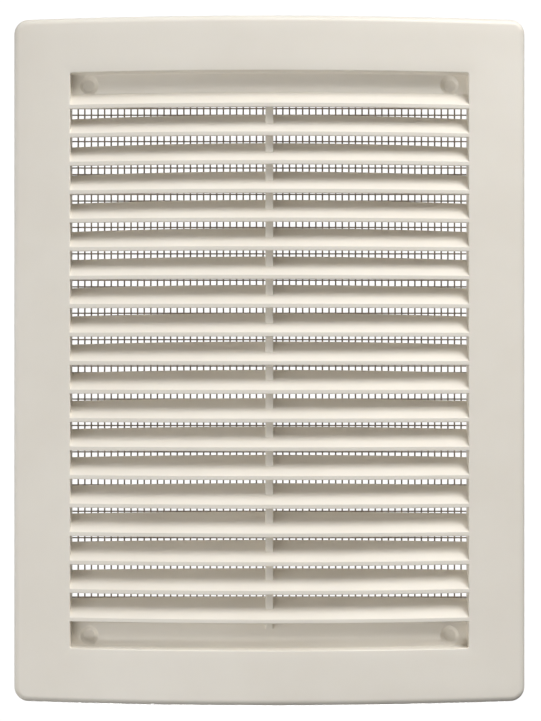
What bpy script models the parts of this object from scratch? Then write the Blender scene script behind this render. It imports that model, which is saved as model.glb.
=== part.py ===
"""Louvred air grille: a bow-fronted frame with nineteen fixed louvre blades, two screw channels
with blind countersunk screw marks, a centre rib, and an insect net in an insert on the back.

Metres, +Z up. X runs across the grille, its front faces -Y and the wall it is screwed to is the
plane y = 0. The origin is the middle of the grille on that wall plane. The moulded features are
separate solids, so each keeps a gap of CLEARANCE to its neighbours.
"""

import math

import bmesh
import bpy

# Overall size
WIDTH = 0.180
HEIGHT = 0.240
SIDE_DEPTH = 0.007          # from the wall to the front at the left and right edges
BOW_RISE = 0.0093           # how much further the front stands out on the centre line
CORNER_RADIUS = 0.005
EDGE_ROUND = 0.0024
WALL_THICKNESS = 0.002
CLEARANCE = 0.0003

# Opening in the front
OPENING_WIDTH = 0.1395
OPENING_HEIGHT = 0.2013
OPENING_CORNER = 0.0008
OPENING_EDGE = 0.0004

# Louvre blades
BLADE_COUNT = 19
BLADE_PITCH = 0.00996
BLADE_ROW_DROP = 0.0002     # how far the row of blades sits below the middle
BLADE_THICKNESS = 0.0012
LIP_HEIGHT = 0.00145
BLADE_SLOPE = 0.785         # rise for each unit of depth, about 38 degrees
BLADE_DEPTH = 0.00905       # at the centre line
BLADE_DEPTH_LOSS = 0.0013   # how much shallower a blade is at its ends

# Screw channels above and below the blades
CHANNEL_SETBACK = 0.0056
CHANNEL_WALL = 0.0016
TOP_FLOOR_EDGE = 0.0923     # free edge of the top channel's floor
BOTTOM_FLOOR_EDGE = 0.0920
SCREW_X = 0.0637
SCREW_Z = 0.0969
DIMPLE_RADIUS = 0.0034
DIMPLE_FLOOR_RADIUS = 0.0024
DIMPLE_DEPTH = 0.0014
BOSS_RADIUS = 0.0038

# Side walls, centre rib and what holds the net
SIDE_WALL = 0.0016
NET_SEAT = 0.0024           # distance from the wall to the seat that the net lies on
SEAT_WIDTH = 0.0064
SEAT_THICKNESS = 0.0015
RIB_WIDTH = 0.00275
RIB_SETBACK = 0.0041
RIB_BACK = 0.003
RIB_FOOT = 0.0937
NET_THICKNESS = 0.0005
NET_HALF_WIDTH = 0.0740
NET_HALF_HEIGHT = 0.0926
INSERT_THICKNESS = 0.0012
INSERT_HALF_WIDTH = 0.0764
INSERT_HALF_HEIGHT = 0.0930
INSERT_OPENING_HALF_WIDTH = 0.0704
INSERT_OPENING_HALF_HEIGHT = 0.0909
CLIP_THICKNESS = 0.0015
CLIP_LENGTH = 0.006
CLIP_DEPTH = 0.005
CLIP_HEIGHTS = (-0.062, 0.0, 0.062)

# Mesh resolution
BOW_STEPS = 12
SIDE_STEPS = 4
CORNER_STEPS = 4
ROUND_STEPS = 3
CIRCLE_STEPS = 28

HALF_WIDTH = WIDTH / 2
HALF_HEIGHT = HEIGHT / 2
OPENING_HALF_WIDTH = OPENING_WIDTH / 2
OPENING_HALF_HEIGHT = OPENING_HEIGHT / 2
BOW_RADIUS = (HALF_WIDTH ** 2 + BOW_RISE ** 2) / (2 * BOW_RISE)
BLADE_HALF_LENGTH = OPENING_HALF_WIDTH - CLEARANCE
SLANT = math.hypot(1, BLADE_SLOPE)
BLADE_UPRIGHT_THICKNESS = BLADE_THICKNESS * SLANT


def clear_scene():
    for old in list(bpy.data.objects):
        bpy.data.objects.remove(old)


def make_material(name, colour, roughness):
    material = bpy.data.materials.new(name)
    material.use_nodes = True
    shader = material.node_tree.nodes["Principled BSDF"]
    shader.inputs["Base Color"].default_value = (*colour, 1.0)
    shader.inputs["Roughness"].default_value = roughness
    shader.inputs["Metallic"].default_value = 0.0
    return material


def add_object(name, bm, material):
    bmesh.ops.recalc_face_normals(bm, faces=bm.faces)
    mesh = bpy.data.meshes.new(name)
    bm.to_mesh(mesh)
    bm.free()
    mesh.materials.append(material)
    piece = bpy.data.objects.new(name, mesh)
    bpy.context.scene.collection.objects.link(piece)
    return piece


def shade_round(piece):
    piece.data.shade_smooth()
    piece.data.set_sharp_from_angle(angle=math.radians(30))


def front_y(x):
    """The bowed front: an arc about a vertical axis, standing out furthest at x = 0."""
    drop = BOW_RADIUS - math.sqrt(BOW_RADIUS ** 2 - x ** 2)
    return -(SIDE_DEPTH + BOW_RISE - drop)


def spaced(start, end, steps):
    return [start + (end - start) * i / steps for i in range(steps + 1)]


def outline(half_width, half_height, radius):
    """Rounded rectangle as (x, z) points, with the same number of points at every size."""
    corner_x = half_width - radius
    corner_z = half_height - radius
    points = []
    corners = ((1, 1, 0), (-1, 1, 90), (-1, -1, 180), (1, -1, 270))
    for sign_x, sign_z, start in corners:
        for angle in spaced(start, start + 90, CORNER_STEPS):
            turn = math.radians(angle)
            x = sign_x * corner_x + radius * math.cos(turn)
            z = sign_z * corner_z + radius * math.sin(turn)
            points.append((x, z))
        along_top = start in (0, 180)
        steps = BOW_STEPS if along_top else SIDE_STEPS
        last_x, last_z = points[-1]
        next_x = last_x - 2 * sign_x * corner_x if along_top else last_x
        next_z = last_z if along_top else last_z - 2 * sign_z * corner_z
        between = zip(spaced(last_x, next_x, steps)[1:-1], spaced(last_z, next_z, steps)[1:-1])
        points.extend(between)
    return points


def bridge(bm, ring_a, ring_b):
    count = len(ring_a)
    for i in range(count):
        j = (i + 1) % count
        bm.faces.new((ring_a[i], ring_a[j], ring_b[j], ring_b[i]))


def closed_ring_solid(rings):
    """A solid that runs round an opening: each ring of points joins the next, the last the first."""
    bm = bmesh.new()
    loops = [[bm.verts.new(point) for point in ring] for ring in rings]
    for loop, following in zip(loops, loops[1:] + loops[:1]):
        bridge(bm, loop, following)
    return bm


def swept_solid(sections):
    """A solid that joins equal sections one after another, closed with a face at each end."""
    bm = bmesh.new()
    loops = [[bm.verts.new(point) for point in section] for section in sections]
    for loop, following in zip(loops, loops[1:]):
        bridge(bm, loop, following)
    bm.faces.new(loops[0])
    bm.faces.new(list(reversed(loops[-1])))
    return bm


def swept_across(section_at, half_length, steps):
    """Sweep a section of (y, z) points, which may change with x, from -half_length to half_length."""
    stations = spaced(-half_length, half_length, steps)
    return swept_solid([[(x, y, z) for y, z in section_at(x)] for x in stations])


def box_solid(low, high):
    bm = bmesh.new()
    bmesh.ops.create_cube(bm, size=1.0)
    for vert in bm.verts:
        for axis in range(3):
            vert.co[axis] = low[axis] if vert.co[axis] < 0 else high[axis]
    return bm


def round_solid(centre, radius_front, radius_back, y_front, y_back):
    """A cylinder or a cone frustum about a line along Y, at centre = (x, z)."""
    sections = []
    for radius, y in ((radius_front, y_front), (radius_back, y_back)):
        turns = [2 * math.pi * i / CIRCLE_STEPS for i in range(CIRCLE_STEPS)]
        ring = [(centre[0] + radius * math.cos(t), y, centre[1] + radius * math.sin(t)) for t in turns]
        sections.append(ring)
    return swept_solid(sections)


def add_boolean(piece, helper, operation):
    helper.hide_render = True
    helper.display_type = "WIRE"
    modifier = piece.modifiers.new(helper.name, "BOOLEAN")
    modifier.operation = operation
    modifier.solver = "EXACT"
    modifier.object = helper


def at_depth(points, depth):
    """Lift (x, z) points to the bowed front, set back by depth."""
    return [(x, front_y(x) + depth, z) for x, z in points]


def on_plane(points, y):
    return [(x, y, z) for x, z in points]


def make_front_frame(material):
    """Hollow bow-fronted frame: outer skirt down to the wall, rounded edge, face, opening edge."""
    outer = outline(HALF_WIDTH, HALF_HEIGHT, CORNER_RADIUS)
    rings = [on_plane(outer, 0.0)]
    for turn in spaced(0, math.pi / 2, ROUND_STEPS):
        inset = EDGE_ROUND * (1 - math.cos(turn))
        rounded = outline(HALF_WIDTH - inset, HALF_HEIGHT - inset, CORNER_RADIUS - inset)
        rings.append(at_depth(rounded, EDGE_ROUND * (1 - math.sin(turn))))
    edge = outline(
        OPENING_HALF_WIDTH + OPENING_EDGE, OPENING_HALF_HEIGHT + OPENING_EDGE,
        OPENING_CORNER + OPENING_EDGE,
    )
    opening = outline(OPENING_HALF_WIDTH, OPENING_HALF_HEIGHT, OPENING_CORNER)
    rings.append(at_depth(edge, 0.0))
    rings.append(at_depth(opening, OPENING_EDGE))
    rings.append(at_depth(opening, WALL_THICKNESS))
    inner = outline(
        HALF_WIDTH - WALL_THICKNESS, HALF_HEIGHT - WALL_THICKNESS, CORNER_RADIUS - WALL_THICKNESS,
    )
    rings.append(at_depth(inner, WALL_THICKNESS))
    rings.append(on_plane(inner, 0.0))
    frame = add_object("front_frame", closed_ring_solid(rings), material)
    shade_round(frame)


def blade_depth(index, x):
    """Depth of a blade at x; blade 0, the top one, stops at the floor of the top screw channel."""
    if index == 0:
        return CHANNEL_SETBACK - CLEARANCE
    return BLADE_DEPTH - BLADE_DEPTH_LOSS * (x / OPENING_HALF_WIDTH) ** 2


def lip_top_of(index):
    """Height of the top edge of a blade's lip."""
    return BLADE_PITCH * ((BLADE_COUNT - 1) / 2 - index) - BLADE_ROW_DROP


def blade_section(index, x):
    """An upright lip at the front, and a slat that slopes up from it to the back."""
    y = front_y(x)
    depth = blade_depth(index, x)
    lip_top = lip_top_of(index)
    lip_bottom = lip_top - LIP_HEIGHT
    back_top = lip_top + BLADE_SLOPE * depth
    under_lip = lip_top + BLADE_SLOPE * BLADE_THICKNESS - BLADE_UPRIGHT_THICKNESS
    return [
        (y, lip_top),
        (y, lip_bottom),
        (y + BLADE_THICKNESS, lip_bottom),
        (y + BLADE_THICKNESS, under_lip),
        (y + depth, back_top - BLADE_UPRIGHT_THICKNESS),
        (y + depth, back_top),
    ]


def make_blades(material):
    for index in range(BLADE_COUNT):
        solid = swept_across(lambda x: blade_section(index, x), BLADE_HALF_LENGTH, BOW_STEPS)
        blade = add_object(f"blade_{index + 1:02d}", solid, material)
        shade_round(blade)


def channel_section(x, floor_edge):
    """L-shaped section of a screw channel: floor facing the front, and wall at the opening's edge."""
    y = front_y(x)
    wall_front = y + WALL_THICKNESS + CLEARANCE
    floor = y + CHANNEL_SETBACK
    outside = OPENING_HALF_HEIGHT + CHANNEL_WALL
    return [
        (floor, floor_edge),
        (floor + CHANNEL_WALL, floor_edge),
        (floor + CHANNEL_WALL, outside),
        (wall_front, outside),
        (wall_front, OPENING_HALF_HEIGHT),
        (floor, OPENING_HALF_HEIGHT),
    ]


def make_screw_channel(name, side, floor_edge, material):
    """A recessed floor with two blind screw marks, each backed by a boss that reaches the wall."""
    solid = swept_across(
        lambda x: [(y, side * z) for y, z in channel_section(x, floor_edge)],
        BLADE_HALF_LENGTH, BOW_STEPS,
    )
    channel = add_object(name, solid, material)
    floor = front_y(SCREW_X) + CHANNEL_SETBACK
    mouth = floor - DIMPLE_DEPTH
    for label, x in (("left", -SCREW_X), ("right", SCREW_X)):
        centre = (x, side * SCREW_Z)
        boss = round_solid(centre, BOSS_RADIUS, BOSS_RADIUS, floor + CHANNEL_WALL / 2, 0.0)
        boss = add_object(f"{name}_{label}_boss", boss, material)
        add_boolean(channel, boss, "UNION")
        wider = 2 * DIMPLE_RADIUS - DIMPLE_FLOOR_RADIUS
        dimple = round_solid(centre, wider, DIMPLE_FLOOR_RADIUS, mouth, floor + DIMPLE_DEPTH)
        dimple = add_object(f"{name}_{label}_dimple", dimple, material)
        add_boolean(channel, dimple, "DIFFERENCE")
    shade_round(channel)


def make_side_wall(name, side, material):
    """Wall behind one side of the opening, with the seat that the net's edge lies on."""
    inner = OPENING_HALF_WIDTH
    outer = inner + SIDE_WALL
    seat_outer = inner + SEAT_WIDTH
    front = front_y(outer) + WALL_THICKNESS + CLEARANCE
    seat_front = -(NET_SEAT + SEAT_THICKNESS)
    section = [
        (inner, front_y(inner) + WALL_THICKNESS + CLEARANCE),
        (outer, front),
        (outer, seat_front),
        (seat_outer, seat_front),
        (seat_outer, -NET_SEAT),
        (inner, -NET_SEAT),
    ]
    top = OPENING_HALF_HEIGHT + CHANNEL_WALL
    solid = swept_solid([[(side * x, y, z) for x, y in section] for z in (-top, top)])
    add_object(name, solid, material)


def make_clips(material):
    """Upright clips beside the net's seat: the insert is pushed in between them."""
    inner = INSERT_HALF_WIDTH + CLEARANCE
    for label, side in (("left", -1), ("right", 1)):
        for number, height in enumerate(CLIP_HEIGHTS, start=1):
            near = side * inner
            far = side * (inner + CLIP_THICKNESS)
            low = (min(near, far), -CLEARANCE - CLIP_DEPTH, height - CLIP_LENGTH / 2)
            high = (max(near, far), -CLEARANCE, height + CLIP_LENGTH / 2)
            add_object(f"clip_{label}_{number}", box_solid(low, high), material)


def rib_profile():
    """Side view of the centre rib as (y, z) points: under the top blade, notched for the others."""
    front = front_y(0) + RIB_SETBACK
    foot_back = front_y(0) + CHANNEL_SETBACK - CLEARANCE
    foot_top = BOTTOM_FLOOR_EDGE - CLEARANCE
    points = [(foot_back, -RIB_FOOT), (foot_back, -foot_top), (-RIB_BACK, -foot_top)]
    points.append((-RIB_BACK, TOP_FLOOR_EDGE - CLEARANCE))
    gap_above = CLEARANCE * SLANT
    gap_below = -BLADE_UPRIGHT_THICKNESS - CLEARANCE * SLANT
    for index in range(BLADE_COUNT):
        end = blade_depth(index, 0) + CLEARANCE
        notch = [(RIB_SETBACK, gap_above), (end, gap_above), (end, gap_below), (RIB_SETBACK, gap_below)]
        if index == 0:
            notch = notch[2:]
        lip_top = lip_top_of(index)
        points.extend((front_y(0) + back, lip_top + BLADE_SLOPE * back + gap) for back, gap in notch)
    points.append((front, -RIB_FOOT))
    return points


def make_centre_rib(material):
    profile = rib_profile()
    edges = (-RIB_WIDTH / 2, RIB_WIDTH / 2)
    solid = swept_solid([[(x, y, z) for y, z in profile] for x in edges])
    add_object("centre_rib", solid, material)


def make_net(material):
    """Plain sheet in the place and size of the woven net, which is too fine for a solid."""
    back = -NET_SEAT + CLEARANCE + NET_THICKNESS
    low = (-NET_HALF_WIDTH, back - NET_THICKNESS, -NET_HALF_HEIGHT)
    high = (NET_HALF_WIDTH, back, NET_HALF_HEIGHT)
    add_object("insect_net", box_solid(low, high), material)


def make_net_insert(material):
    """Thin frame that holds the net's edge against its seat."""
    front = -NET_SEAT + 2 * CLEARANCE + NET_THICKNESS
    outer = outline(INSERT_HALF_WIDTH, INSERT_HALF_HEIGHT, OPENING_CORNER)
    inner = outline(INSERT_OPENING_HALF_WIDTH, INSERT_OPENING_HALF_HEIGHT, OPENING_CORNER)
    back = front + INSERT_THICKNESS
    rings = [on_plane(outer, front), on_plane(inner, front), on_plane(inner, back), on_plane(outer, back)]
    add_object("net_insert_frame", closed_ring_solid(rings), material)


def main():
    clear_scene()
    plastic = make_material("cream_plastic", (0.80, 0.77, 0.70), 0.38)
    net = make_material("net_fibre", (0.16, 0.15, 0.14), 0.6)
    make_front_frame(plastic)
    make_blades(plastic)
    make_screw_channel("top_screw_channel", 1, TOP_FLOOR_EDGE, plastic)
    make_screw_channel("bottom_screw_channel", -1, BOTTOM_FLOOR_EDGE, plastic)
    make_side_wall("left_side_wall", -1, plastic)
    make_side_wall("right_side_wall", 1, plastic)
    make_clips(plastic)
    make_centre_rib(plastic)
    make_net(net)
    make_net_insert(plastic)


main()
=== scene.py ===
"""Looks of the louvred air grille: smooth moulded meshes, a woven insect net and the finishes.

Metres, +Z up, in the frame's own axes: X across, the louvred front faces -Y, the wall is y = 0.
"""

import math

import bmesh
import bpy
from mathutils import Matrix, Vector


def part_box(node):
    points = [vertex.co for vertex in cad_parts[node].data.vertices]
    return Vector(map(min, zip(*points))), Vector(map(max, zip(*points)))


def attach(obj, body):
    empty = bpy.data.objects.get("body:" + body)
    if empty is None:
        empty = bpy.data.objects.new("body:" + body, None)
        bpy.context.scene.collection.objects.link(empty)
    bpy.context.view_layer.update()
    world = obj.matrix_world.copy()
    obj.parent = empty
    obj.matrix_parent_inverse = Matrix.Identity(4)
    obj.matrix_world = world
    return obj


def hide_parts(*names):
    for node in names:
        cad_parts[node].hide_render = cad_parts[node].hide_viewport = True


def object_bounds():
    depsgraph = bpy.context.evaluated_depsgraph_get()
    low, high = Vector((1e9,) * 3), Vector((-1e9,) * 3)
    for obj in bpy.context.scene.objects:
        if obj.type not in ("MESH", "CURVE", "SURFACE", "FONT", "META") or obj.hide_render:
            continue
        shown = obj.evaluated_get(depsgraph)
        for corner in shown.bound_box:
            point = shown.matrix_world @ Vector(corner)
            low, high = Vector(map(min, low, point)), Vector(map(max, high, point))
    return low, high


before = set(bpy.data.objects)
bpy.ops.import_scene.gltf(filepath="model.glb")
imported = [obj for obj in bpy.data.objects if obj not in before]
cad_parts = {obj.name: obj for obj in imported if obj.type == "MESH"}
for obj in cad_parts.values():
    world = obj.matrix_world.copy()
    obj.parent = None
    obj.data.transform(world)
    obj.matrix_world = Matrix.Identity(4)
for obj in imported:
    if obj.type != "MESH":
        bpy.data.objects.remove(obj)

CAD_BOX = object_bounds()

# Bodies, and the slot names passed to each piece
BODY = "louvre_body"
INSERT = "net_insert"
PLASTIC_SLOT = "cream_plastic"
NET_SLOT = "net_fibre"

# Sizes that the frame's boxes give
HALF_WIDTH = CAD_BOX[1][0]
HALF_HEIGHT = CAD_BOX[1][2]
DEPTH = -CAD_BOX[0][1]
OPENING_HALF_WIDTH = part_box("right_side_wall")[0][0]
CHANNEL_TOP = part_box("top_screw_channel")[1][2]
TOP_FLOOR_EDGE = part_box("top_screw_channel")[0][2]
BOTTOM_FLOOR_EDGE = -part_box("bottom_screw_channel")[1][2]

# Sizes of the moulding
SIDE_DEPTH = 0.007
CORNER_RADIUS = 0.005
EDGE_ROUND = 0.0024
SHELL = 0.002
CHANNEL_WALL = 0.0016
OPENING_HALF_HEIGHT = CHANNEL_TOP - CHANNEL_WALL
OPENING_CORNER = 0.0008
OPENING_ROUND = 0.00035
BOW_RISE = DEPTH - SIDE_DEPTH
BOW_RADIUS = (HALF_WIDTH ** 2 + BOW_RISE ** 2) / (2 * BOW_RISE)

# Louvre blades
BLADE_COUNT = 19
BLADE_THICKNESS = 0.0012
LIP_HEIGHT = 0.00145
BLADE_SLOPE = 0.785         # rise over depth
BLADE_DEPTH = 0.00905
BLADE_DEPTH_LOSS = 0.0013   # how much shallower a blade is at its ends
BLADE_BITE = 0.0009         # how far a blade's end runs into the side of the opening
LIP_RECESS = 0.00002        # keeps a lip's front just behind the frame's front
LIP_TOP_ROUND = 0.00012
LIP_FOOT_ROUND = 0.0003
BLADE_INNER_ROUND = 0.0006
BLADE_BACK_ROUND = 0.0003

# Screw channels
CHANNEL_SETBACK = 0.0056
CHANNEL_FILLET = 0.0005
SCREW_X = 0.0637
SCREW_Z = 0.0969
DIMPLE_RADIUS = 0.0035
DIMPLE_FLOOR_RADIUS = 0.0020
DIMPLE_DEPTH = 0.0014
DIMPLE_RIM_ROUND = 0.00015
DIMPLE_FLOOR_ROUND = 0.0003
BOSS_RADIUS = 0.0038
BOSS_START = 0.6            # share of the channel's wall that a boss begins at, inside the wall

# Net and the insert that holds it
INSERT_OPENING_HALF_WIDTH = 0.0704
INSERT_OPENING_HALF_HEIGHT = 0.0909
INSERT_ROUND = 0.0003
NET_PITCH = 0.00234
NET_COLUMNS = 30            # strands each side of the centre one
NET_COLUMN_SHIFT = 0.0001
NET_ROW_SHIFT = 0.00037
UPRIGHT_STRAND_RADIUS = 0.00027
LEVEL_STRAND_RADIUS = 0.00024
WEAVE_RISE = 0.00012
STRAND_SIDES = 6
SEAT_THICKNESS = 0.0015
CLIP_BEVEL = 0.0004

# Mesh resolution
BOW_STEPS = 96
SIDE_STEPS = 48
CORNER_STEPS = 10
ROUND_STEPS = 8
FILLET_STEPS = 5
CIRCLE_STEPS = 72
CLIP_BEVEL_STEPS = 3
CORNER_REACH = 0.48         # most of a side that one rounded corner may take
SHARP_ANGLE = math.radians(32)

# Colours, as linear red, green and blue
PLASTIC_DARKER = (0.82543, 0.777165, 0.692455)
PLASTIC_LIGHTER = (0.856152, 0.810612, 0.727628)
NET_DARKER = (0.250, 0.205, 0.155)
NET_LIGHTER = (0.350, 0.290, 0.225)
FLOOR_DARKER = (0.06, 0.06, 0.06)
FLOOR_LIGHTER = (0.08, 0.08, 0.08)
WHITE = (1.0, 1.0, 1.0, 1.0)

# Camera and stage
CAMERA_DISTANCE = 0.650
IMAGE_HEIGHT = 721
FOCAL_PIXELS = 1848
SENSOR = 36.0
NEAR_CLIP = 0.01
AIM_X = 0.0004
FLOOR_DROP = 1.0
FLOOR_RADIUS = 4.0
FLOOR_SIDES = 64
WORLD_FILL = 0.15           # strength as light on the grille
WORLD_SEEN = 1.05           # strength as the background


def spaced(start, end, steps):
    return [start + (end - start) * i / steps for i in range(steps + 1)]


def front_y(x):
    """The bowed front: an arc about a vertical axis, standing out furthest at x = 0."""
    drop = BOW_RADIUS - math.sqrt(BOW_RADIUS ** 2 - x ** 2)
    return -(DEPTH - drop)


# Mesh building

def outline(half_width, half_height, radius):
    """Rounded rectangle as (x, z) points, as many at every size."""
    corner_x = half_width - radius
    corner_z = half_height - radius
    points = []
    for sign_x, sign_z, start in ((1, 1, 0), (-1, 1, 90), (-1, -1, 180), (1, -1, 270)):
        for angle in spaced(start, start + 90, CORNER_STEPS):
            turn = math.radians(angle)
            x = sign_x * corner_x + radius * math.cos(turn)
            z = sign_z * corner_z + radius * math.sin(turn)
            points.append((x, z))
        along_top = start in (0, 180)
        steps = BOW_STEPS if along_top else SIDE_STEPS
        last_x, last_z = points[-1]
        next_x = last_x - 2 * sign_x * corner_x if along_top else last_x
        next_z = last_z if along_top else last_z - 2 * sign_z * corner_z
        side = list(zip(spaced(last_x, next_x, steps), spaced(last_z, next_z, steps)))
        points.extend(side[1:-1])
    return points


def rounded_path(corners, closed=True):
    """Turn (u, v, radius) corners into a path of (u, v) points with each corner rounded."""
    path = []
    count = len(corners)
    for i, (u, v, radius) in enumerate(corners):
        here = Vector((u, v))
        if radius == 0 or (not closed and i in (0, count - 1)):
            path.append((u, v))
            continue
        before = Vector(corners[i - 1][:2]) - here
        after = Vector(corners[(i + 1) % count][:2]) - here
        bend = before.angle(after)
        longest = CORNER_REACH * min(before.length, after.length)
        reach = min(radius / math.tan(bend / 2), longest)
        start = here + before.normalized() * reach
        end = here + after.normalized() * reach
        for share in spaced(0, 1, FILLET_STEPS):
            first = start.lerp(here, share)
            second = here.lerp(end, share)
            path.append(tuple(first.lerp(second, share)))
    return path


def bridge(bm, ring_a, ring_b):
    count = len(ring_a)
    for i in range(count):
        j = (i + 1) % count
        bm.faces.new((ring_a[i], ring_a[j], ring_b[j], ring_b[i]))


def add_sweep(bm, sections):
    loops = [[bm.verts.new(point) for point in section] for section in sections]
    for loop, following in zip(loops, loops[1:]):
        bridge(bm, loop, following)
    bm.faces.new(loops[0])
    bm.faces.new(list(reversed(loops[-1])))


def closed_ring_solid(rings):
    """A solid that runs round an opening: each ring joins the next, and the last the first."""
    bm = bmesh.new()
    loops = [[bm.verts.new(point) for point in ring] for ring in rings]
    for loop, following in zip(loops, loops[1:] + loops[:1]):
        bridge(bm, loop, following)
    return bm


def swept_solid(sections):
    """A solid that joins equal sections one after another, closed with a face at each end."""
    bm = bmesh.new()
    add_sweep(bm, sections)
    return bm


def lathed_solid(origin, profile):
    """Turn (radius, depth) points about a line that runs straight back into the wall."""
    turns = [2 * math.pi * i / CIRCLE_STEPS for i in range(CIRCLE_STEPS)]
    across = Vector((1.0, 0.0, 0.0))
    up = Vector((0.0, 0.0, 1.0))
    sections = []
    for radius, depth in profile:
        middle = Vector(origin) + Vector((0.0, depth, 0.0))
        ring = [middle + radius * (across * math.cos(t) + up * math.sin(t)) for t in turns]
        sections.append(ring)
    return swept_solid(sections)


def add_piece(name, bm, material, body, slot, *nodes):
    """Make a smooth-shaded piece that rides on a body and stands for the named CAD nodes."""
    bmesh.ops.recalc_face_normals(bm, faces=bm.faces)
    mesh = bpy.data.meshes.new(name)
    bm.to_mesh(mesh)
    bm.free()
    mesh.materials.append(material)
    mesh.shade_smooth()
    mesh.set_sharp_from_angle(angle=SHARP_ANGLE)
    piece = bpy.data.objects.new(name, mesh)
    bpy.context.scene.collection.objects.link(piece)
    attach(piece, body)
    if nodes:
        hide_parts(*nodes)
    return piece


def cut_or_join(base, tool, operation):
    """Boolean of two closed bmeshes, returned as a bmesh."""
    objects = []
    for label, bm in (("base", base), ("tool", tool)):
        bmesh.ops.recalc_face_normals(bm, faces=bm.faces)
        mesh = bpy.data.meshes.new(label)
        bm.to_mesh(mesh)
        bm.free()
        part = bpy.data.objects.new(label, mesh)
        bpy.context.scene.collection.objects.link(part)
        objects.append(part)
    modifier = objects[0].modifiers.new("boolean", "BOOLEAN")
    modifier.operation = operation
    modifier.solver = "EXACT"
    modifier.object = objects[1]
    depsgraph = bpy.context.evaluated_depsgraph_get()
    result = bmesh.new()
    result.from_object(objects[0], depsgraph)
    for part in objects:
        mesh = part.data
        bpy.data.objects.remove(part)
        bpy.data.meshes.remove(mesh)
    return result


# Materials

def new_material(name):
    material = bpy.data.materials.new(name)
    material.use_nodes = True
    return material, material.node_tree.nodes, material.node_tree.links


def noise(nodes, links, coordinates, scale, detail, roughness):
    node = nodes.new("ShaderNodeTexNoise")
    node.inputs["Scale"].default_value = scale
    node.inputs["Detail"].default_value = detail
    node.inputs["Roughness"].default_value = roughness
    links.new(coordinates, node.inputs["Vector"])
    return node.outputs["Fac"]


def ramp(nodes, links, factor, low, high):
    """Colour between low and high as factor runs over the middle of a noise."""
    node = nodes.new("ShaderNodeValToRGB")
    node.color_ramp.elements[0].position = 0.35
    node.color_ramp.elements[0].color = (*low, 1.0)
    node.color_ramp.elements[1].position = 0.65
    node.color_ramp.elements[1].color = (*high, 1.0)
    links.new(factor, node.inputs["Fac"])
    return node.outputs["Color"]


def ranged(nodes, links, factor, low, high):
    node = nodes.new("ShaderNodeMapRange")
    node.inputs["From Min"].default_value = 0.3
    node.inputs["From Max"].default_value = 0.7
    node.inputs["To Min"].default_value = low
    node.inputs["To Max"].default_value = high
    links.new(factor, node.inputs["Value"])
    return node.outputs["Result"]


def bump(nodes, links, height, distance, strength, normal=None):
    node = nodes.new("ShaderNodeBump")
    node.inputs["Distance"].default_value = distance
    node.inputs["Strength"].default_value = strength
    links.new(height, node.inputs["Height"])
    if normal is not None:
        links.new(normal, node.inputs["Normal"])
    return node.outputs["Normal"]


def moulded_plastic():
    """Warm off-white ABS: faint cloudy colour, fine spark-eroded grain, soft unevenness."""
    material, nodes, links = new_material("cream_abs")
    shader = nodes["Principled BSDF"]
    place = nodes.new("ShaderNodeTexCoord").outputs["Object"]
    cloud = noise(nodes, links, place, scale=28.0, detail=3.0, roughness=0.55)
    colour = ramp(nodes, links, cloud, PLASTIC_DARKER, PLASTIC_LIGHTER)
    links.new(colour, shader.inputs["Base Color"])
    gloss = noise(nodes, links, place, scale=160.0, detail=4.0, roughness=0.6)
    links.new(ranged(nodes, links, gloss, 0.38, 0.48), shader.inputs["Roughness"])
    shader.inputs["IOR"].default_value = 1.53
    shader.inputs["Specular IOR Level"].default_value = 0.45
    shader.inputs["Subsurface Weight"].default_value = 0.06
    shader.inputs["Subsurface Radius"].default_value = (0.0012, 0.0010, 0.0007)
    grain = noise(nodes, links, place, scale=5200.0, detail=3.0, roughness=0.7)
    wave = noise(nodes, links, place, scale=55.0, detail=1.0, roughness=0.4)
    grained = bump(nodes, links, grain, distance=0.00001, strength=0.35)
    surface = bump(nodes, links, wave, distance=0.0001, strength=0.18, normal=grained)
    links.new(surface, shader.inputs["Normal"])
    return material


def net_fibre():
    """Coated glass fibre strand: grey-brown, dull, with fine yarn ridges."""
    material, nodes, links = new_material("net_fibre_coated")
    shader = nodes["Principled BSDF"]
    place = nodes.new("ShaderNodeTexCoord").outputs["Object"]
    dust = noise(nodes, links, place, scale=900.0, detail=3.0, roughness=0.6)
    links.new(ramp(nodes, links, dust, NET_DARKER, NET_LIGHTER), shader.inputs["Base Color"])
    links.new(ranged(nodes, links, dust, 0.50, 0.68), shader.inputs["Roughness"])
    yarn = noise(nodes, links, place, scale=6500.0, detail=2.0, roughness=0.6)
    ridges = bump(nodes, links, yarn, distance=0.00004, strength=0.5)
    links.new(ridges, shader.inputs["Normal"])
    return material


def floor_paint():
    """Dark as a surface, so it throws little light up, and white where it is seen directly."""
    material, nodes, links = new_material("pale_floor")
    shader = nodes["Principled BSDF"]
    place = nodes.new("ShaderNodeTexCoord").outputs["Object"]
    cloud = noise(nodes, links, place, scale=2.0, detail=3.0, roughness=0.5)
    colour = ramp(nodes, links, cloud, FLOOR_DARKER, FLOOR_LIGHTER)
    links.new(colour, shader.inputs["Base Color"])
    shader.inputs["Roughness"].default_value = 0.9
    seen = nodes.new("ShaderNodeLightPath").outputs["Is Camera Ray"]
    shader.inputs["Emission Color"].default_value = WHITE
    links.new(seen, shader.inputs["Emission Strength"])
    return material


# The grille

def at_depth(points, depth):
    return [(x, front_y(x) + depth, z) for x, z in points]


def on_plane(points, y):
    return [(x, y, z) for x, z in points]


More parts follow.
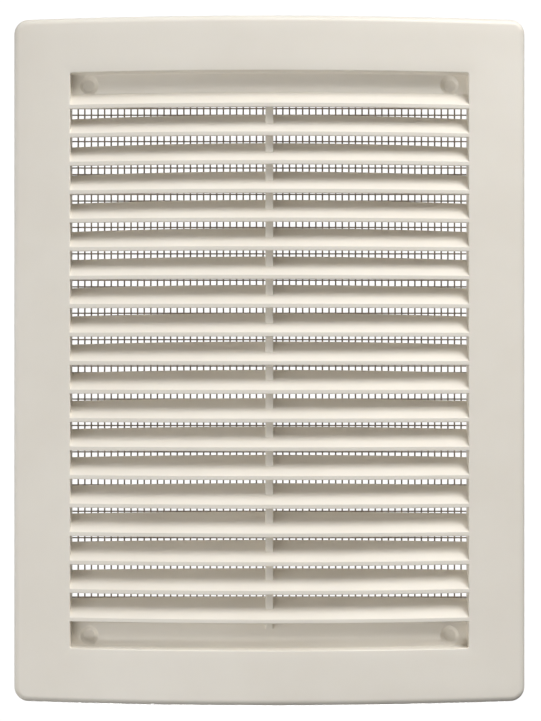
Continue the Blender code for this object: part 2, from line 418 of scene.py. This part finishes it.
def make_frame(material):
    """Bow-fronted shell: a rounded outer edge, a tight radius round the opening and a skirt."""
    outer = outline(HALF_WIDTH, HALF_HEIGHT, CORNER_RADIUS)
    rings = [on_plane(outer, 0.0)]
    for share in (0.3, 0.7):            # outside of the skirt
        rings.append([(x, share * (front_y(x) + EDGE_ROUND), z) for x, z in outer])
    for turn in spaced(0, math.pi / 2, ROUND_STEPS):
        inset = EDGE_ROUND * (1 - math.cos(turn))
        edge = outline(HALF_WIDTH - inset, HALF_HEIGHT - inset, CORNER_RADIUS - inset)
        rings.append(at_depth(edge, EDGE_ROUND * (1 - math.sin(turn))))
    for share in (0.25, 0.5, 0.75):     # face of the bezel
        face = outline(
            (HALF_WIDTH - EDGE_ROUND) * (1 - share) + OPENING_HALF_WIDTH * share,
            (HALF_HEIGHT - EDGE_ROUND) * (1 - share) + OPENING_HALF_HEIGHT * share,
            (CORNER_RADIUS - EDGE_ROUND) * (1 - share) + OPENING_CORNER * share,
        )
        rings.append(at_depth(face, 0.0))
    for turn in spaced(0, math.pi / 2, FILLET_STEPS):
        outset = OPENING_ROUND * (1 - math.sin(turn))
        edge = outline(
            OPENING_HALF_WIDTH + outset, OPENING_HALF_HEIGHT + outset, OPENING_CORNER + outset
        )
        rings.append(at_depth(edge, OPENING_ROUND * (1 - math.cos(turn))))
    opening = outline(OPENING_HALF_WIDTH, OPENING_HALF_HEIGHT, OPENING_CORNER)
    rings.append(at_depth(opening, SHELL))
    inner = outline(HALF_WIDTH - SHELL, HALF_HEIGHT - SHELL, CORNER_RADIUS - SHELL)
    rings.append(at_depth(inner, SHELL))
    rings.append(on_plane(inner, 0.0))
    solid = closed_ring_solid(rings)
    add_piece("moulded_frame", solid, material, BODY, PLASTIC_SLOT, "front_frame")


def blade_depth(number, x):
    """Depth of a blade at x; blade 1 runs into the floor of the top screw channel."""
    if number == 1:
        return CHANNEL_SETBACK + CHANNEL_WALL / 2
    return BLADE_DEPTH - BLADE_DEPTH_LOSS * (x / OPENING_HALF_WIDTH) ** 2


def blade_section(number, lip_top, x):
    """An upright lip at the front, and a slat that slopes up from it to the back."""
    upright_thickness = BLADE_THICKNESS * math.hypot(1, BLADE_SLOPE)
    y = front_y(x) + LIP_RECESS
    depth = blade_depth(number, x)
    lip_bottom = lip_top - LIP_HEIGHT
    back_top = lip_top + BLADE_SLOPE * depth
    under_lip = lip_top + BLADE_SLOPE * BLADE_THICKNESS - upright_thickness
    corners = [
        (y, lip_top, LIP_TOP_ROUND),
        (y, lip_bottom, LIP_FOOT_ROUND),
        (y + BLADE_THICKNESS, lip_bottom, LIP_FOOT_ROUND / 2),
        (y + BLADE_THICKNESS, under_lip, BLADE_INNER_ROUND),
        (y + depth, back_top - upright_thickness, BLADE_BACK_ROUND),
        (y + depth, back_top, BLADE_BACK_ROUND),
    ]
    return rounded_path(corners)


def make_blades(material):
    half_length = OPENING_HALF_WIDTH + BLADE_BITE
    stations = spaced(-half_length, half_length, BOW_STEPS)
    for number in range(1, BLADE_COUNT + 1):
        node = f"blade_{number:02d}"
        lip_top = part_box(node)[0][2] + LIP_HEIGHT
        solid = swept_solid(
            [[(x, y, z) for y, z in blade_section(number, lip_top, x)] for x in stations]
        )
        add_piece(f"louvre_{number:02d}", solid, material, BODY, PLASTIC_SLOT, node)


def channel_section(x, floor_edge):
    """Floor and outer wall of a screw channel at x, as (y, z) points, z away from the middle."""
    y = front_y(x)
    floor = y + CHANNEL_SETBACK
    outside = OPENING_HALF_HEIGHT + CHANNEL_WALL
    corners = [
        (floor, floor_edge, LIP_FOOT_ROUND),
        (floor + CHANNEL_WALL, floor_edge, LIP_FOOT_ROUND),
        (floor + CHANNEL_WALL, outside, CHANNEL_FILLET),
        (y + SHELL, outside, 0),
        (y + SHELL, OPENING_HALF_HEIGHT, 0),
        (floor, OPENING_HALF_HEIGHT, CHANNEL_FILLET),
    ]
    return rounded_path(corners)


def dimple_profile():
    """Cutter for a blind countersink, as (radius, depth) points: a cone with a flat floor."""
    return rounded_path([
        (DIMPLE_RADIUS + DIMPLE_RIM_ROUND, -DIMPLE_DEPTH, 0),
        (DIMPLE_RADIUS + DIMPLE_RIM_ROUND, -DIMPLE_RIM_ROUND / 4, 0),
        (DIMPLE_RADIUS, 0.0, DIMPLE_RIM_ROUND),
        (DIMPLE_FLOOR_RADIUS, DIMPLE_DEPTH, DIMPLE_FLOOR_ROUND),
        (DIMPLE_RIM_ROUND, DIMPLE_DEPTH, 0),
    ], closed=False)


def make_channel(node, side, floor_edge, material):
    """Screw channel with two blind marks, each on a boss that reaches back to the wall."""
    half_length = OPENING_HALF_WIDTH + BLADE_BITE
    stations = spaced(-half_length, half_length, BOW_STEPS)
    solid = swept_solid(
        [[(x, y, side * z) for y, z in channel_section(x, floor_edge)] for x in stations]
    )
    floor = front_y(SCREW_X) + CHANNEL_SETBACK
    for x in (-SCREW_X, SCREW_X):
        centre = (x, floor, side * SCREW_Z)
        boss_line = [(BOSS_RADIUS, CHANNEL_WALL * BOSS_START), (BOSS_RADIUS, -floor)]
        boss = lathed_solid(centre, boss_line)
        solid = cut_or_join(solid, boss, "UNION")
        dimple = lathed_solid(centre, dimple_profile())
        solid = cut_or_join(solid, dimple, "DIFFERENCE")
    add_piece(f"moulded_{node}", solid, material, BODY, PLASTIC_SLOT, node)


def make_side_wall(node, side, material):
    """Wall behind one side of the opening, with the ledge that the net lies on."""
    low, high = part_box(node)
    inner = OPENING_HALF_WIDTH
    outer = inner + CHANNEL_WALL
    seat_outer = max(abs(low[0]), abs(high[0]))
    seat_back = high[1]
    seat_front = seat_back - SEAT_THICKNESS
    corners = [
        (inner, front_y(inner) + SHELL, 0),
        (outer, front_y(outer) + SHELL, 0),
        (outer, seat_front, CHANNEL_FILLET),
        (seat_outer, seat_front, LIP_FOOT_ROUND),
        (seat_outer, seat_back, LIP_FOOT_ROUND),
        (inner, seat_back, LIP_FOOT_ROUND),
    ]
    section = rounded_path(corners)
    heights = spaced(low[2], high[2], SIDE_STEPS)
    solid = swept_solid([[(side * x, y, z) for x, y in section] for z in heights])
    add_piece(f"moulded_{node}", solid, material, BODY, PLASTIC_SLOT, node)


def make_rib(material):
    """Centre rib behind the lips, softly rounded, and its foot on the bottom channel's floor."""
    low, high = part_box("centre_rib")
    radius = LIP_FOOT_ROUND
    corners = [
        (low[0], low[1], radius), (high[0], low[1], radius),
        (high[0], high[1], radius), (low[0], high[1], radius),
    ]
    section = rounded_path(corners)
    floor_top = -BOTTOM_FLOOR_EDGE
    heights = spaced(floor_top, high[2], SIDE_STEPS)
    solid = swept_solid([[(x, y, z) for x, y in section] for z in heights])
    add_piece("moulded_centre_rib", solid, material, BODY, PLASTIC_SLOT, "centre_rib")
    foot_back = front_y(0) + CHANNEL_SETBACK + CHANNEL_WALL / 2
    foot = rounded_path([
        (low[0], low[1], radius), (high[0], low[1], radius),
        (high[0], foot_back, 0), (low[0], foot_back, 0),
    ])
    solid = swept_solid([[(x, y, z) for x, y in foot] for z in (low[2], floor_top)])
    add_piece("moulded_rib_foot", solid, material, BODY, PLASTIC_SLOT)


def make_clips(material):
    """Small upright clips with bevelled edges, three each side of the net insert."""
    for label in ("left", "right"):
        for number in (1, 2, 3):
            node = f"clip_{label}_{number}"
            low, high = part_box(node)
            bm = bmesh.new()
            bmesh.ops.create_cube(bm, size=1.0)
            for vert in bm.verts:
                for axis in range(3):
                    vert.co[axis] = low[axis] if vert.co[axis] < 0 else high[axis]
            bmesh.ops.bevel(
                bm, geom=bm.edges[:], offset=CLIP_BEVEL, segments=CLIP_BEVEL_STEPS, affect="EDGES"
            )
            add_piece(f"moulded_{node}", bm, material, BODY, PLASTIC_SLOT, node)


def make_insert(material):
    """Thin frame that holds the net's edge, with rounded edges."""
    low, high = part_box("net_insert_frame")
    inner_x = INSERT_OPENING_HALF_WIDTH
    inner_z = INSERT_OPENING_HALF_HEIGHT
    width = high[0] - inner_x
    height = high[2] - inner_z
    section = rounded_path([
        (0.0, low[1], INSERT_ROUND), (width, low[1], INSERT_ROUND),
        (width, high[1], INSERT_ROUND), (0.0, high[1], INSERT_ROUND),
    ])
    rings = []
    for u, y in section:
        share = u / width
        edge = outline(inner_x + share * width, inner_z + share * height, OPENING_CORNER)
        rings.append(on_plane(edge, y))
    solid = closed_ring_solid(rings)
    add_piece("insert_frame", solid, material, INSERT, PLASTIC_SLOT, "net_insert_frame")


def add_strand(bm, points, radius, across, outward):
    """A closed fibre along points, with a round section spanned by two directions."""
    turns = [2 * math.pi * i / STRAND_SIDES for i in range(STRAND_SIDES)]
    offsets = [radius * (across * math.cos(t) + outward * math.sin(t)) for t in turns]
    add_sweep(bm, [[point + offset for offset in offsets] for point in points])


def make_net(material):
    """Plain-woven net: each strand passes in front of and behind its neighbours in turn."""
    low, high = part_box("insect_net")
    middle = (low[1] + high[1]) / 2
    rows = int((high[2] - NET_ROW_SHIFT) / NET_PITCH)

    def place(column, level, side):
        wave = side * math.cos(math.pi * (level + column))
        x = NET_COLUMN_SHIFT + column * NET_PITCH
        z = NET_ROW_SHIFT + level * NET_PITCH
        return Vector((x, middle + WEAVE_RISE * wave, z))

    bm = bmesh.new()
    across, up, back = Vector((1, 0, 0)), Vector((0, 0, 1)), Vector((0, 1, 0))
    half_levels = [step / 2 for step in range(-2 * rows - 1, 2 * rows + 2)]
    for column in range(-NET_COLUMNS, NET_COLUMNS + 1):
        points = [place(column, level, 1) for level in half_levels]
        add_strand(bm, points, UPRIGHT_STRAND_RADIUS, across, back)
    reach = 2 * NET_COLUMNS + 2
    half_columns = [step / 2 for step in range(-reach, reach + 1)]
    for level in range(-rows, rows + 1):
        points = [place(column, level, -1) for column in half_columns]
        add_strand(bm, points, LEVEL_STRAND_RADIUS, up, back)
    add_piece("woven_net", bm, material, INSERT, NET_SLOT, "insect_net")


# Stage, lights and camera

def make_floor():
    bm = bmesh.new()
    bmesh.ops.create_circle(bm, cap_ends=True, segments=FLOOR_SIDES, radius=FLOOR_RADIUS)
    mesh = bpy.data.meshes.new("studio_floor")
    bm.to_mesh(mesh)
    bm.free()
    mesh.materials.append(floor_paint())
    floor = bpy.data.objects.new("studio_floor", mesh)
    floor.location = (0.0, 0.0, -HALF_HEIGHT - FLOOR_DROP)
    bpy.context.scene.collection.objects.link(floor)


def add_light(name, place, size, power):
    """A white softbox of a width and height in metres, aimed at the middle of the wall plane."""
    data = bpy.data.lights.new(name, "AREA")
    data.shape = "RECTANGLE"
    data.size, data.size_y = size
    data.energy = power
    light = bpy.data.objects.new(name, data)
    light.location = place
    light.rotation_euler = (-Vector(place)).to_track_quat("-Z", "Y").to_euler()
    bpy.context.scene.collection.objects.link(light)


def make_world():
    """White seen directly and dimmer as fill light, as in a studio with a lit background."""
    world = bpy.data.worlds.new("studio")
    bpy.context.scene.world = world
    world.use_nodes = True
    nodes = world.node_tree.nodes
    links = world.node_tree.links
    background = nodes["Background"]
    background.inputs["Color"].default_value = WHITE
    strength = nodes.new("ShaderNodeMapRange")
    strength.inputs["To Min"].default_value = WORLD_FILL
    strength.inputs["To Max"].default_value = WORLD_SEEN
    seen = nodes.new("ShaderNodeLightPath").outputs["Is Camera Ray"]
    links.new(seen, strength.inputs["Value"])
    links.new(strength.outputs["Result"], background.inputs["Strength"])


def from_direction(azimuth, elevation, distance):
    """A point at a distance from the grille. Azimuth 0 is straight in front, 90 to the right."""
    turn = math.radians(azimuth)
    rise = math.radians(elevation)
    return (
        distance * math.cos(rise) * math.sin(turn),
        -distance * math.cos(rise) * math.cos(turn),
        distance * math.sin(rise),
    )


def make_lights():
    add_light("key_softbox", from_direction(35, 52, 1.6), (1.0, 1.0), 19.8)
    add_light("right_fill", from_direction(60, 45, 1.2), (0.8, 0.8), 4.7)
    add_light("left_fill", from_direction(-62, 0, 1.2), (0.5, 0.5), 1.8)
    add_light("left_edge_light", from_direction(-100, 0, 1.0), (0.5, 0.5), 2.2)
    add_light("low_left_fill", from_direction(-40, -23, 1.2), (0.6, 0.25), 2.0)
    add_light("low_fill", from_direction(-15, -30, 1.2), (0.6, 0.25), 2.2)
    add_light("back_light", from_direction(180, 0, 0.9), (1.3, 1.3), 1.2)
    add_light("low_back_light", from_direction(180, -28, 1.6), (0.5, 0.5), 16.0)


def make_camera():
    data = bpy.data.cameras.new("camera")
    data.sensor_width = SENSOR
    data.lens = FOCAL_PIXELS * SENSOR / IMAGE_HEIGHT
    data.clip_start = NEAR_CLIP
    camera = bpy.data.objects.new("camera", data)
    camera.location = (AIM_X, -SIDE_DEPTH - CAMERA_DISTANCE, 0.0)
    camera.rotation_euler = (math.pi / 2, 0.0, 0.0)
    bpy.context.scene.collection.objects.link(camera)
    bpy.context.scene.camera = camera


def main():
    plastic = moulded_plastic()
    make_frame(plastic)
    make_blades(plastic)
    make_channel("top_screw_channel", 1, TOP_FLOOR_EDGE, plastic)
    make_channel("bottom_screw_channel", -1, BOTTOM_FLOOR_EDGE, plastic)
    make_side_wall("left_side_wall", -1, plastic)
    make_side_wall("right_side_wall", 1, plastic)
    make_rib(plastic)
    make_clips(plastic)
    make_insert(plastic)
    make_net(net_fibre())
    make_floor()
    make_world()
    make_lights()
    make_camera()
    bpy.context.scene.view_settings.view_transform = "Standard"


main()
